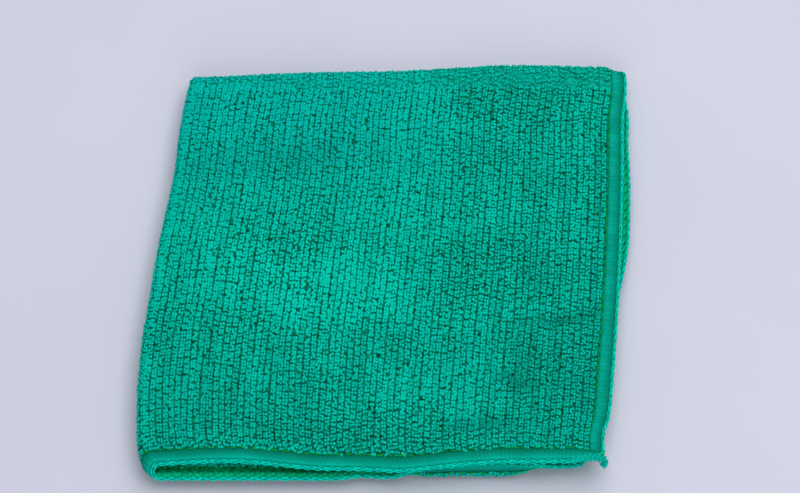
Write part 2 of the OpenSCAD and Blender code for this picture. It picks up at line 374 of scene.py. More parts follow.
def towel_point(p, w):
    """The middle of the cloth at profile place p and path place w."""
    p, w = np.broadcast_arrays(np.asarray(p, float), np.asarray(w, float))
    upper = w >= 0
    run = np.maximum(np.abs(w) - QUARTER, 0)
    angle = np.clip(w / QUARTER, -1, 1) * PI / 2
    y = BACK_Y - run
    outer_x = np.where(upper, EDGES["top"](y), EDGES["bottom"](y)) + OUTER_EDGE_SHIFT
    outer_x = outer_x + steps(y, OUTER_BACK_STEP) - TURN_EDGE_INSET * np.cos(angle) ** 2
    inner_x = np.where(upper, EDGES["second"](y), EDGES["third"](y)) + steps(y, INNER_BACK_STEP)
    inner_x = inner_x + (off_line("second side", y) + INNER_UPPER_SHIFT) * upper
    fold_x = FOLD_LINE(y) + PILE_TOP + SIDE_R + np.where(upper, 1.0, LOWER_BULGE) * fold_bulge(y)
    turn = np.clip(p - FOLD_START, 0, 1)
    x = np.where(
        p < FOLD_START,
        outer_x + (fold_x - outer_x) * np.minimum(p, 1),
        fold_x + (inner_x - fold_x) * np.maximum(p - FOLD_END, 0),
    )
    share = (1 - np.cos(PI * turn)) / 2
    up_outer = np.where(upper, outer_lift(x, y) * np.sin(angle), 0)
    up_inner = np.where(upper, inner_lift(x, y), 0)
    behind, above = curl(x, y - FRONT_UPPER)
    lift = up_outer * (1 - share) + (up_inner + above * upper) * share
    reach = SIDE_R + FOLD_WIDENING * np.maximum(up_outer - up_inner, 0)
    radius = OUTER_R + (INNER_R - OUTER_R) * share
    at_back = smooth((TURN_END - np.abs(w)) / TURN_REACH)
    corner = steps(x, CORNER_GROWTH)
    outer_front = off_line("top front", x) * steps(y, OUTER_SHIFT_FADE)
    outer_front = outer_front + off_line("corner front", y - FRONT_UPPER) * corner
    inner_front = inner_front_shift(x) * steps(y, INNER_SHIFT_FADE) + behind
    inset = off_line("corner side", y) * corner * (1 - share) * upper
    y = y + radius * np.cos(angle) + back_shift(x) * at_back
    y = y + (outer_front * (1 - share) + inner_front * share) * upper
    x = x - reach * np.sin(PI * turn) - inset
    return np.stack([x, y, MID_Z + radius * np.sin(angle) + lift], -1)


# Half steps over which the surface's directions are measured
STEP_P = 0.002
STEP_W = 0.05


def towel_frame(p, w):
    """Middle of the cloth, its direction along p, and its normal on the face side, up on the top layer."""
    centre = towel_point(p, w)
    along = towel_point(p + STEP_P, w) - towel_point(p - STEP_P, w)
    path = towel_point(p, w + STEP_W) - towel_point(p, w - STEP_W)
    normal = np.cross(along, path)
    along /= np.linalg.norm(along, axis=-1, keepdims=True)
    normal /= np.linalg.norm(normal, axis=-1, keepdims=True)
    return centre, along, normal


# ---- meshes


# No point is lower than this, so that the towel lies on the table
LEAST_HEIGHT = 0.02


def mesh_object(name, points, corners, sizes, material, corner_uv=None, values=None):
    """A mesh object from points in mm, face corners, face sizes, corner UVs and point values."""
    points = points.copy()
    points[:, 2] = np.maximum(points[:, 2], LEAST_HEIGHT)
    mesh = bpy.data.meshes.new(name)
    mesh.vertices.add(len(points))
    mesh.vertices.foreach_set("co", (points * MM).astype(np.float32).ravel())
    mesh.loops.add(len(corners))
    mesh.loops.foreach_set("vertex_index", np.asarray(corners, np.int32))
    mesh.polygons.add(len(sizes))
    starts = np.concatenate(([0], np.cumsum(sizes)[:-1])).astype(np.int32)
    mesh.polygons.foreach_set("loop_start", starts)
    mesh.update(calc_edges=True)
    mesh.polygons.foreach_set("use_smooth", np.ones(len(sizes), bool))
    if corner_uv is not None:
        layer = mesh.uv_layers.new(name="OFBake")
        layer.data.foreach_set("uv", np.asarray(corner_uv, np.float32).ravel())
    for key, value in (values or {}).items():
        attribute = mesh.attributes.new(key, "FLOAT", "POINT")
        attribute.data.foreach_set("value", np.asarray(value, np.float32))
    turn_outwards(mesh)
    mesh.materials.append(material)
    piece = bpy.data.objects.new(name, mesh)
    bpy.context.scene.collection.objects.link(piece)
    return piece


def turn_outwards(mesh):
    """Flips a closed mesh whose faces point inwards."""
    bm = bmesh.new()
    bm.from_mesh(mesh)
    inside_out = bm.calc_volume(signed=True) < 0
    bm.free()
    if inside_out:
        mesh.flip_normals()


def grid_faces(rows, columns, closed=False):
    """Quads of a grid of points; closed joins the last column to the first."""
    i, j = np.meshgrid(np.arange(rows - 1), np.arange(columns if closed else columns - 1), indexing="ij")
    k = (j + 1) % columns
    quad = np.stack([i * columns + j, i * columns + k, (i + 1) * columns + k, (i + 1) * columns + j], -1)
    return quad.reshape(-1, 4)


# The knit's unevenness: height, seed and length
KNIT = ((0.05, 5, 2.3),)
# A sheet's UV map: width of its face, start of its back, and place of its walls
SHEET_UV_W = 0.48
SHEET_UV_BACK = 0.5
SHEET_UV_WALLS = (0.985, 0.5)


def tube_faces(rows, columns):
    """Quads of a tube, and the corners and sizes of all its faces, flat ends and all."""
    quads = grid_faces(rows, columns, closed=True)
    ends = np.concatenate([np.arange(columns)[::-1], (rows - 1) * columns + np.arange(columns)])
    corners = np.concatenate([quads.ravel(), ends])
    return quads, corners, np.concatenate([np.full(len(quads), 4), [columns, columns]])


def sheet_piece(name, ps, ws, half, material):
    """A closed thin sheet of the towel's surface over a grid of profile and path places."""
    p, w = np.meshgrid(ps, ws, indexing="xy")
    centre, _, normal = towel_frame(p, w)
    rows, columns = p.shape
    count = rows * columns
    knit = wave_sets(centre[..., 0], centre[..., 1], KNIT)[..., None]
    points = np.concatenate([(centre + normal * (half + knit)).reshape(-1, 3),
                             (centre - normal * (half + knit)).reshape(-1, 3)])
    faces = grid_faces(rows, columns)
    top, bottom = faces, faces[:, ::-1] + count
    ring = np.concatenate([np.arange(columns), np.arange(1, rows) * columns + columns - 1,
                           (rows - 1) * columns + np.arange(columns - 2, -1, -1),
                           np.arange(rows - 2, 0, -1) * columns])
    after = np.roll(ring, -1)
    walls = np.stack([after, ring, ring + count, after + count], -1)
    quads = np.concatenate([top, bottom, walls])
    u = np.linspace(0, SHEET_UV_W, columns)[None, :] + 0 * p
    v = np.linspace(0, 1, rows)[:, None] + 0 * p
    uv_points = np.concatenate([np.stack([u, v], -1).reshape(-1, 2),
                                np.stack([u + SHEET_UV_BACK, v], -1).reshape(-1, 2)])
    uv = uv_points[quads]
    uv[len(top) + len(bottom):] = np.array(SHEET_UV_WALLS)
    return mesh_object(name, points, quads.ravel(), np.full(len(quads), 4), material, uv.reshape(-1, 2))


# A tuft is a closed lump: rings of points between two poles, at these angles from its tip
TUFT_SIDES = 6
TUFT_RINGS = np.radians([34, 72, 112])
# Radius of a tuft's disc in its square of the UV map, and where its hidden foot is
TUFT_UV_RADIUS = 0.46
TUFT_UV_FOOT = 0.02


def tuft_template():
    """Unit directions, face corners, face sizes and corner UVs of one tuft."""
    turn = np.arange(TUFT_SIDES) * 2 * PI / TUFT_SIDES
    points = [(0, 0, 1)]
    flat = [(0, 0)]
    for tilt in TUFT_RINGS:
        for a in turn:
            points.append((math.sin(tilt) * math.cos(a), math.sin(tilt) * math.sin(a), math.cos(tilt)))
            flat.append((tilt * math.cos(a), tilt * math.sin(a)))
    points.append((0, 0, -1))
    flat.append((0, 0))
    corners, sizes = [], []
    n = TUFT_SIDES
    for a in range(n):
        corners += [0, 1 + a, 1 + (a + 1) % n]
        sizes.append(3)
    for ring in range(len(TUFT_RINGS) - 1):
        for a in range(n):
            base, b = 1 + ring * n, (a + 1) % n
            corners += [base + a, base + n + a, base + n + b, base + b]
            sizes.append(4)
    under = len(corners)
    base = 1 + (len(TUFT_RINGS) - 1) * n
    for a in range(n):
        corners += [base + a, len(points) - 1, base + (a + 1) % n]
        sizes.append(3)
    corners = np.array(corners)
    uv = 0.5 + TUFT_UV_RADIUS * np.array(flat)[corners] / TUFT_RINGS[-1]
    uv[under:] = TUFT_UV_FOOT
    return np.array(points), corners, np.array(sizes), uv


TUFT = tuft_template()
# How irregular the tufts are; the turn is in radians
TUFT_SPIN = 0.5
TUFT_LEAN = 0.25
TUFT_OVAL = 0.12
TUFT_ROUGH = 0.07


def tufts_mesh(name, points, material, values=None):
    """Tufts as one mesh, each with its own square cell in the UV map."""
    shape, corners, sizes, uv = TUFT
    count = len(points)
    offsets = (np.arange(count) * len(shape))[:, None]
    side = math.ceil(math.sqrt(count))
    cell = np.stack([np.arange(count) % side, np.arange(count) // side], -1)
    cell_uv = ((cell[:, None] + uv[None]) / side).reshape(-1, 2)
    return mesh_object(name, points.reshape(-1, 3), (corners[None] + offsets).ravel(),
                       np.tile(sizes, count), material, cell_uv, values)


def tufts_piece(name, centre, along, normal, size, seed, looks, least_tip):
    """Tufts of pile at the given places. size holds half widths along, across and up, one row a tuft.

    looks holds each tuft's values for the material. The tip value is 0 at a tuft's foot and 1 at its
    top; the material paints shade towards the foot, and least_tip keeps that painted shade out of sight.
    """
    rng = np.random.default_rng(seed)
    shape = TUFT[0]
    count, each = len(centre), len(shape)
    across = np.cross(normal, along)
    spin = rng.uniform(-TUFT_SPIN, TUFT_SPIN, count)[:, None]
    first = along * np.cos(spin) + across * np.sin(spin)
    second = np.cross(normal, first)
    lean = rng.normal(0, TUFT_LEAN, (count, 2))
    around = np.arctan2(shape[:, 1], shape[:, 0])[None, :]
    belt = np.sqrt(shape[:, 0] ** 2 + shape[:, 1] ** 2)[None, :]
    phase = rng.uniform(0, 2 * PI, (count, 1))
    oval = TUFT_OVAL * np.sin(2 * around + phase) * belt
    radius = 1 + oval + rng.normal(0, TUFT_ROUGH, (count, each))
    local = shape[None] * radius[..., None] * size[:, None, :]
    local[..., 0] += lean[:, :1] * local[..., 2]
    local[..., 1] += lean[:, 1:] * local[..., 2]
    points = (centre[:, None]
              + local[..., :1] * first[:, None]
              + local[..., 1:2] * second[:, None]
              + local[..., 2:] * normal[:, None])
    tip = np.maximum((shape[:, 2] + 1) / 2, least_tip)
    values = {"tip": tip[None, :], **{key: value[:, None] for key, value in looks.items()}}
    values = {key: np.broadcast_to(value, (count, each)).ravel() for key, value in values.items()}
    return tufts_mesh(name, points, PILE, values)


# ---- materials


def teal(green, blue):
    """A colour of the cloth or its thread, which have next to no red."""
    return (0.0005, green, blue, 1)


class Look:
    """A material as it is made. Its methods add nodes and give back their output sockets."""

    def __init__(self, name):
        self.material = bpy.data.materials.new(name)
        self.material.use_nodes = True
        self.nodes = self.material.node_tree.nodes
        self.links = self.material.node_tree.links
        self.shader = self.nodes["Principled BSDF"].inputs

    def mixed(self, factor, first, second):
        """Colour mix of two sockets or colours by a factor socket or number."""
        node = self.nodes.new("ShaderNodeMix")
        node.data_type = "RGBA"
        for socket, value in (("Factor_Float", factor), ("A_Color", first), ("B_Color", second)):
            target = next(s for s in node.inputs if s.identifier == socket)
            if isinstance(value, bpy.types.NodeSocket):
                self.links.new(value, target)
            else:
                target.default_value = value
        return next(s for s in node.outputs if s.identifier == "Result_Color")

    def ranged(self, socket, low_in, high_in, low_out=0.0, high_out=1.0):
        """The socket's value, taken from one range to another."""
        node = self.nodes.new("ShaderNodeMapRange")
        values = (("From Min", low_in), ("From Max", high_in), ("To Min", low_out), ("To Max", high_out))
        for name, value in values:
            node.inputs[name].default_value = value
        self.links.new(socket, node.inputs["Value"])
        return node.outputs["Result"]

    def noise(self, scale, detail=2.0, stretch=None):
        """Noise in object space; scale is in waves a metre."""
        socket = self.nodes.new("ShaderNodeTexCoord").outputs["Object"]
        if stretch:
            mapping = self.nodes.new("ShaderNodeMapping")
            mapping.inputs["Scale"].default_value = stretch
            self.links.new(socket, mapping.inputs["Vector"])
            socket = mapping.outputs["Vector"]
        node = self.nodes.new("ShaderNodeTexNoise")
        node.inputs["Scale"].default_value = scale
        node.inputs["Detail"].default_value = detail
        self.links.new(socket, node.inputs["Vector"])
        return node.outputs["Fac"]

    def attribute(self, name):
        """A mesh's own value for each point."""
        node = self.nodes.new("ShaderNodeAttribute")
        node.attribute_name = name
        return node.outputs["Fac"]

    def bump(self, height, distance, strength=0.6):
        """Bump from a height socket; distance is in metres."""
        node = self.nodes.new("ShaderNodeBump")
        node.inputs["Distance"].default_value = distance
        node.inputs["Strength"].default_value = strength
        self.links.new(height, node.inputs["Height"])
        self.links.new(node.outputs["Normal"], self.shader["Normal"])

    def set_surface(self, colour, roughness, specular):
        """Colour socket, roughness and specular level."""
        self.links.new(colour, self.shader["Base Color"])
        self.shader["Roughness"].default_value = roughness
        self.shader["Specular IOR Level"].default_value = specular

    def set_sheen(self, weight, roughness):
        """Sheen of fine fibres, in the cloth's own colour."""
        self.shader["Sheen Weight"].default_value = weight
        self.shader["Sheen Roughness"].default_value = roughness
        self.shader["Sheen Tint"].default_value = (0.0, 1.0, 0.8, 1)


def pile_material():
    """Looped microfibre: teal tips, a tint for each tuft, fine fibres, and painted shade, light and sheen."""
    look = Look("terry_pile")
    each = look.mixed(look.attribute("tint"), teal(0.38, 0.275), teal(0.73, 0.55))
    # Painted light and shade in broad patches, darker in the creases, mixed half and half with each tuft's
    # tint
    painted_shading_colour = look.mixed(look.attribute("painted_shading"), teal(0.15, 0.10), teal(0.77, 0.58))
    tips = look.mixed(0.5, each, painted_shading_colour)
    # Painted bluer sheen towards the back left
    painted_sheen_mix = look.ranged(look.attribute("painted_sheen"), 0, 1, 0, 0.5)
    tips = look.mixed(painted_sheen_mix, tips, teal(0.44, 0.42))
    # Painted shade towards each tuft's foot: the root colour below, the tips' colour above
    tip_share = look.ranged(look.attribute("tip"), 0.34, 0.80)
    colour = look.mixed(tip_share, teal(0.16, 0.09), tips)
    look.set_surface(colour, roughness=0.85, specular=0.03)
    look.set_sheen(weight=0.12, roughness=0.5)
    fibres = look.noise(5200, 3, (1, 1, 0.4))
    look.bump(fibres, 0.00012, 0.7)
    return look.material


def ground_material(name, dark, light):
    """The knitted ground under the pile, seen only in the gaps, in painted shade with a knit mottle."""
    look = Look(name)
    knit = look.ranged(look.noise(700, 2), 0.35, 0.65)
    colour = look.mixed(knit, dark, light)
    look.set_surface(colour, roughness=0.9, specular=0.05)
    look.bump(knit, 0.0003)
    return look.material


def thread_material(name, dark, light, scale, sheen):
    """Sewing thread: two tones in streaks, darker where the mesh paints shade, and fibre bump."""
    look = Look(name)
    fine = look.ranged(look.noise(scale, 3), 0.3, 0.7)
    light_share = look.mixed(0.7, fine, look.attribute("strand"))
    colour = look.mixed(light_share, dark, light)
    # A darker copy of the thread's colour, for painted shade
    deep = (dark[0], 0.42 * dark[1], 0.32 * dark[2], 1)
    colour = look.mixed(look.attribute("painted_thread_shade"), colour, deep)
    look.set_surface(colour, roughness=0.7, specular=0.02)
    look.set_sheen(sheen, roughness=0.4)
    look.bump(look.noise(6000, 2), 0.00006, 0.5)
    return look.material


def floor_material():
    """Pale matt table top with a very faint mottle."""
    look = Look("table")
    mottle = look.ranged(look.noise(9, 3), 0.3, 0.7)
    colour = look.mixed(mottle, (0.655, 0.655, 0.765, 1), (0.685, 0.685, 0.795, 1))
    look.set_surface(colour, roughness=0.7, specular=0.2)
    return look.material


PILE = pile_material()
# Ground colours are painted shade for the gaps; round the back fold, where it shows, that shade is lighter
PAINTED_SHADE_GROUND = ground_material("terry_ground", teal(0.050, 0.018), teal(0.29, 0.185))
TURN_GROUND = ground_material("terry_ground_back_fold", teal(0.20, 0.12), teal(0.46, 0.34))
LOOPER = thread_material("looper_thread", teal(0.35, 0.25), teal(0.60, 0.455), 900, 0.08)
# The back bands' thread is the looper thread, made greener as a painted green bounce of light
BOUNCE_TINTED_LOOPER = thread_material("back_looper_thread_painted_bounce", teal(0.42, 0.15), teal(0.74, 0.32), 900, 0.05)
BACK_BUMP = thread_material("back_bump_thread", teal(0.46, 0.26), teal(0.76, 0.46), 900, 0.05)
PURL = thread_material("purl_thread", teal(0.44, 0.335), teal(0.78, 0.60), 1200, 0.12)
NEEDLE = thread_material("needle_thread", (0.002, 0.27, 0.02, 1), (0.03, 0.66, 0.10, 1), 1500, 0.05)

# ---- cloth

# The knitted ground ends this far inside the raw edges, under the hems
LIP_IN = 1.0
# A layer's width from its raw edge to the side fold, about
PANEL_W = 150.0


def profile_grid(columns):
    """Profile places of the ground's columns, with so many on each layer and some on the fold."""
    edge = LIP_IN / PANEL_W
    return np.concatenate([
        np.linspace(OUTER_EDGE + edge, FOLD_START, columns, endpoint=False),
        np.linspace(FOLD_START, FOLD_END, 12, endpoint=False),
        np.linspace(FOLD_END, INNER_EDGE - edge, columns),
    ])


def make_ground():
    """The knitted ground of each half and of the turns over the back fold."""
    across = profile_grid(80)
    stations = {
        "upper": np.linspace(TURN_END, UPPER_END - LIP_IN, 80),
        "lower": np.linspace(LOWER_END + LIP_IN, -TURN_END, 80),
        "back_fold": np.concatenate([
            np.linspace(-TURN_END, -QUARTER, 5, endpoint=False),
            np.linspace(-QUARTER, QUARTER, 40, endpoint=False),
            np.linspace(QUARTER, TURN_END, 6),
        ]),
    }
    materials = {"upper": PAINTED_SHADE_GROUND, "lower": PAINTED_SHADE_GROUND, "back_fold": TURN_GROUND}
    return {part: sheet_piece(f"ground_{part}", across, along, GROUND_HALF, materials[part])
            for part, along in stations.items()}


# ---- pile

# The loops stand in columns that run from front to back, two lumps to a loop
COLUMN_PITCH = 2.0
ROW_PITCH = 1.3
PAIR_HALF = 0.42
# How irregular the loops stand: turn in radians, shifts as shares of the pitches, columns' wander
PAIR_TURN = 0.38
SHIFT_ACROSS = 0.04
SHIFT_ALONG = 0.25
WANDER = 0.08
WANDER_LENGTH = 7
# Shares of a lump's tint that it has from its column, its loop and itself
TINT_SHARES = (0.4, 0.15, 0.45)
# Half sizes of a lump, and its height's spread: where the pile is fresh, and the change where worn
LUMP_WIDE = (0.53, 0.08)
LUMP_LONG = (0.64, 0.26)
LUMP_TALL = (0.62, -0.08)
LUMP_SPREAD = (0.11, -0.05)
MOST_TUFTS = 5400
PILE_IN = HEM_W + 0.45
# Share of the lumps that are missing
MISSING = 0.02
# Snags, where a few loops are missing: x, y and radius
SNAGS = ((-9, -27.2, 1.15), (-28, -9.5, 0.7))

# Where the pile is matted. Patches are a shape along x times a shape along y.
MATTED_MEAN = 0.45
MATTED_WAVES = ((0.45, 31, 48), (0.20, 32, 17))
MATTED_MIDDLE = ((-30, 45, 0.35), (5, 50, 1.0))
MATTED_BACK_LEFT = ((35, -45, 0.55), (15, 30, 1.0))
FRESH_RIGHT = (35, 35, -0.4)
FRESH_FRONT = (-45, -20, -0.2)

# Painted light and shade in broad patches: share, middle and width along x, middle and width along y
PAINTED_SHADING_MEAN = 0.66
PAINTED_SHADING_PATCHES = (
    (0.5, -33, 27, -7, 20),
    (-0.3, -42, 35, 41, 9),
    (-0.35, 50, 26, -45, 22),
    (-0.3, -62, 18, -50, 18),
    (-0.25, -5, 12, -40, 9),
    (0.35, -50, 32, 58, 22),
)
PAINTED_SHADING_WAVES = ((0.12, 33, 26),)


def mattedness(x, y):
    """0 where the loops stand apart, 1 where they are worn flat together."""
    patches = MATTED_MEAN + wave_sets(x, y, MATTED_WAVES)
    patches = patches + hills(x, MATTED_MIDDLE[0]) * hills(y, MATTED_MIDDLE[1])
    patches = patches + steps(x, MATTED_BACK_LEFT[0]) * steps(y, MATTED_BACK_LEFT[1])
    return np.clip(patches + steps(x, FRESH_RIGHT) + steps(y, FRESH_FRONT), 0, 1)


def painted_shading(x, y):
    """Painted light and shade on the pile: 0 where broad patches and creases are painted dark, 1 where
    painted light.
    """
    patches = wave_sets(x, y, PAINTED_SHADING_WAVES)
    for share, middle_x, width_x, middle_y, width_y in PAINTED_SHADING_PATCHES:
        patches = patches + share * hill(x, middle_x, width_x) * hill(y, middle_y, width_y)
    return np.clip(PAINTED_SHADING_MEAN + 0.6 * patches - 0.5 * crease_depth(x, y), 0, 1)


def painted_sheen_share(x, y):
    """Painted sheen: 0 where the pile looks green, 1 where a bluer sheen is painted, towards the back left.
    """
    return smooth((y - 5) / 60) * smooth((70 - x) / 110)


def pile_places(columns, rows, seed):
    """Profile and path places of the lumps over a grid of loops, and a tint for each."""
    rng = np.random.default_rng(seed)
    p, w = np.meshgrid(columns, rows, indexing="xy")
    p_step = abs(columns[1] - columns[0])
    w_step = abs(rows[1] - rows[0])
    slope = p_step / COLUMN_PITCH
    w = w + rng.uniform(-0.5, 0.5, len(columns))[None, :] * w_step
    phase = rng.uniform(0, 2 * PI, len(columns))[None, :]
    p = p + WANDER * p_step * np.sin(w / WANDER_LENGTH + phase)
    p = p + rng.uniform(-SHIFT_ACROSS, SHIFT_ACROSS, p.shape) * p_step
    w = w + rng.uniform(-SHIFT_ALONG, SHIFT_ALONG, w.shape) * w_step
    turn = rng.normal(0, PAIR_TURN, p.shape)
    across = PAIR_HALF * np.cos(turn) * slope
    ahead = PAIR_HALF * np.sin(turn)
    by_column, by_loop, by_lump = TINT_SHARES
    tint = by_column * rng.uniform(0, 1, (1, len(columns))) + by_loop * rng.uniform(0, 1, p.shape)
    p = np.stack([p - across, p + across], -1)
    w = np.stack([w - ahead, w + ahead], -1)
    tint = tint[..., None] + by_lump * rng.uniform(0, 1, p.shape)
    return p.ravel(), w.ravel(), tint.ravel()


def pile_pieces(name, places, outside, seed, height=1.0, least_tip=0.0):
    """Pieces of pile at the given places, on the face side (outside 1) or the back (-1)."""
    rng = np.random.default_rng(seed)
    p, w, tint = places
    kept = rng.uniform(0, 1, len(p)) > MISSING
    at = towel_point(p, w)
    for x, y, radius in SNAGS:
        kept &= np.hypot(at[:, 0] - x, at[:, 1] - y) > radius
    p, w, tint = p[kept], w[kept], tint[kept]
    centre, along, normal = towel_frame(p, w)
    normal = normal * outside
    worn = mattedness(centre[:, 0], centre[:, 1])
    wide, long, tall, spread = (fresh + change * worn for fresh, change in (
        LUMP_WIDE, LUMP_LONG, LUMP_TALL, LUMP_SPREAD))
    grown = rng.uniform(0.82, 1.14, len(p))
    wide = wide * grown
    long = long * grown * rng.uniform(0.88, 1.12, len(p))
    tall = tall * rng.uniform(0.85, 1.12, len(p)) * height
    size = np.stack([wide, long, tall], -1)
    rise = PILE_TOP - LUMP_TALL[0] * height + spread * rng.normal(0, 1, len(p)) * height
    centre = centre + normal * rise[:, None]
    looks = {
        "tint": tint,
        "painted_shading": painted_shading(centre[:, 0], centre[:, 1]),
        "painted_sheen": painted_sheen_share(centre[:, 0], centre[:, 1]),
    }
    made = []
    parts = math.ceil(len(p) / MOST_TUFTS)
    for part, chosen in enumerate(np.array_split(np.arange(len(p)), parts)):
        label = f"{name}_{part + 1}" if parts > 1 else name
        chosen_looks = {key: value[chosen] for key, value in looks.items()}
        made.append(tufts_piece(label, centre[chosen], along[chosen], normal[chosen], size[chosen],
                                seed + part, chosen_looks, least_tip))
    return made


def panel_columns():
    """Profile places of the outer layer's columns of loops, from its hem to the side fold."""
    edge = (PILE_IN + 0.5) / PANEL_W
    count = int((PANEL_W - PILE_IN) / COLUMN_PITCH)
    return np.linspace(edge, 1 - 0.3 / count, count)


SIDE_FOLD_COLUMNS = np.linspace(1.1, 1.9, 4)


def pile_rows(start, end):
    """Path places of the rows of loops between two ends."""
    return np.linspace(start, end, int(abs(end - start) / ROW_PITCH))


def make_half_pile(half, front_w, seed):
    """Pile on the face side of one half: its outer layer, its side fold and its inner layer."""
    sign = math.copysign(1, front_w)
    columns = panel_columns()
    # The inner layer's pile reaches to the bend, so that it moves with its half
    stretches = (
        ("outer", columns, TURN_END),
        ("inner", INNER_EDGE - columns[::-1], QUARTER + 0.7),
        ("side_fold", SIDE_FOLD_COLUMNS, TURN_END),
    )
    made = []
    for k, (label, across, start) in enumerate(stretches):
        rows = pile_rows(sign * start, front_w)
        own_seed = seed + 20 * k
        made += pile_pieces(f"pile_{half}_{label}", pile_places(across, rows, own_seed), 1, own_seed)
    return made


# The pocket's pile reaches this far in from its open edges
BACK_DEPTH = 14.0


def make_back_pile(half, front_w, seed):
    """Pile on the back side of one half, inside its pocket, as deep as it can be seen."""
    rows = pile_rows(math.copysign(TURN_END, front_w), front_w)
    columns = panel_columns()
    p, w, tint = pile_places(np.concatenate([columns, INNER_EDGE - columns[::-1]]), rows, seed)
    from_side = np.minimum(p, INNER_EDGE - p) * PANEL_W
    from_front = np.abs(w - front_w)
    kept = (from_side < BACK_DEPTH) | (from_front < BACK_DEPTH)
    return pile_pieces(f"pile_{half}_pocket", (p[kept], w[kept], tint[kept]), -1, seed, height=0.9)


# Height of the inner turn's crushed loops, and how little painted shade their feet get
CRUSHED = 0.25
CRUSHED_TIP = 0.62


def make_turn_pile(seed):
    """Pile round the back fold: the outer turn's loops stand out, the inner turn's are crushed."""
    rows = np.linspace(-TURN_END + 0.6, TURN_END - 0.6, 16)
    columns = np.concatenate([panel_columns(), SIDE_FOLD_COLUMNS])
    outer = pile_pieces("pile_back_fold_outer", pile_places(columns, rows, seed), 1, seed + 2)
    inner_columns = INNER_EDGE - panel_columns()[::-1]
    inner_rows = np.linspace(-0.95, 0.95, 17) * QUARTER
    inner = pile_pieces("pile_back_fold_inner", pile_places(inner_columns, inner_rows, seed + 3), 1, seed + 4,
                        CRUSHED, CRUSHED_TIP)
    return outer + inner


# ---- hems


class Hem:
    """A hem as a strip: t runs along it, u inwards from its raw edge and h out of the face side."""

    def __init__(self, start, end, place, crown, shade, thick=1.0):
        self.start = start
        self.end = end
        self.place = place
        # Scale of its height
        self.thick = thick
        # Share of the width at which the band stands highest, from the raw edge
        self.crown = crown
        # Painted shade of its threads at the crown, how much more away from it, and a power
        self.shade = shade

    def at(self, t, u, h):
        """Points of the hem in mm."""
        p, w = self.place(t, u)
        centre, _, normal = towel_frame(p, w)
        return centre + normal * np.asarray(h)[..., None]


def side_hem_strip(inner, w0, w1, thick=1.0):
    """Strip of a side hem from path place w0 to w1."""
    names = ("second", "third") if inner else ("top", "bottom")

    def place(t, u):
        w = w0 + (w1 - w0) / abs(w1 - w0) * t
        run = np.maximum(np.abs(w) - QUARTER, 0)
        y = BACK_Y - run
        edge = np.where(w >= 0, EDGES[names[0]](y), EDGES[names[1]](y))
        fold = FOLD_LINE(y) + PILE_TOP + SIDE_R
        share = u / (edge - fold)
        return (INNER_EDGE - share if inner else OUTER_EDGE + share), w

    return Hem(0, abs(w1 - w0), place, SIDE_CROWN, SIDE_SHADE, thick)


# Length of the upper front hem round its side fold, whose layers are apart there
UPPER_FOLD_LENGTH = 7.0
# A front hem starts and ends this far inside its strip, and its strip goes on far past them
FRONT_INSET = 0.2
BEYOND = 20


def front_hem_strip(w_end):
    """Strip of a front hem from the outer layer's corner, round the side fold, to the inner one's."""
    y = FRONT_UPPER if w_end > 0 else FRONT_LOWER
    names = ("top", "second") if w_end > 0 else ("bottom", "third")
    fold = FOLD_LINE(y) + PILE_TOP + SIDE_R
    first, last = EDGES[names[0]](y) - fold, EDGES[names[1]](y) - fold
    turn = UPPER_FOLD_LENGTH if w_end > 0 else SIDE_R * PI
    length = first + turn + last
    lengths = [-BEYOND, 0, first, first + turn, length, length + BEYOND]
    places = [-BEYOND / first, OUTER_EDGE, FOLD_START, FOLD_END, INNER_EDGE, INNER_EDGE + BEYOND / last]

    def place(t, u):
        return np.interp(t, lengths, places), w_end - math.copysign(1, w_end) * u

    return Hem(FRONT_INSET, length - FRONT_INSET, place, FRONT_CROWN, FRONT_SHADE)


# Pitch of the face band's ribs, which are single turns of its thread
RIB = 0.45
# The band: its place from the raw edge, its fall away from its crown, its height, its sections
BAND_START = 0.7
BAND_END = HEM_W - 0.2
BAND_FALL = 0.50
BAND_TOP = BAND_HALF - 0.08
BAND_STEP = 0.15
BAND_POINTS = 11
BAND_UNDER = 0.12
# Crown and painted shade of a hem: see Hem
SIDE_CROWN = 0.72
FRONT_CROWN = 0.10
SIDE_SHADE = (0.32, 0.62, 1.6)
FRONT_SHADE = (0.10, 0.88, 0.70)
# The tubes' UV map has this many lanes, filled to this share, and a corner for the flat ends
LANES = 8
LANE_FILL = 0.96
ENDS_UV = 0.999


def loft_piece(name, hem, t, u, h, material, values=None):
    """A closed tube through the sections (u, h), one row for each t, with flat ends."""
    rows, columns = u.shape
    points = hem.at(np.broadcast_to(t[:, None], u.shape), u, h).reshape(-1, 3)
    quads, corners, sizes = tube_faces(rows, columns)
    row, column = quads[:, 0] // columns, quads[:, 0] % columns
    lane_rows = math.ceil(rows / LANES)
    u0 = (row % lane_rows) / lane_rows
    v0 = (row // lane_rows + column / columns * LANE_FILL) / LANES
    du, dv = 1 / lane_rows, LANE_FILL / columns / LANES
    uv = np.stack([np.stack([u0, v0], -1), np.stack([u0, v0 + dv], -1),
                   np.stack([u0 + du, v0 + dv], -1), np.stack([u0 + du, v0], -1)], 1)
    uv = np.concatenate([uv.reshape(-1, 2), np.full((2 * columns, 2), ENDS_UV)])
    return mesh_object(name, points, corners, sizes, material, uv, values)


def merged(name, pieces):
    """Joins pieces into one object with the first one's materials, and gives it the name."""
    for o in bpy.context.selected_objects:
        o.select_set(False)
    for o in pieces:
        o.select_set(True)
    bpy.context.view_layer.objects.active = pieces[0]
    bpy.ops.object.join()
    pieces[0].name = name
    pieces[0].data.name = name
    return pieces[0]


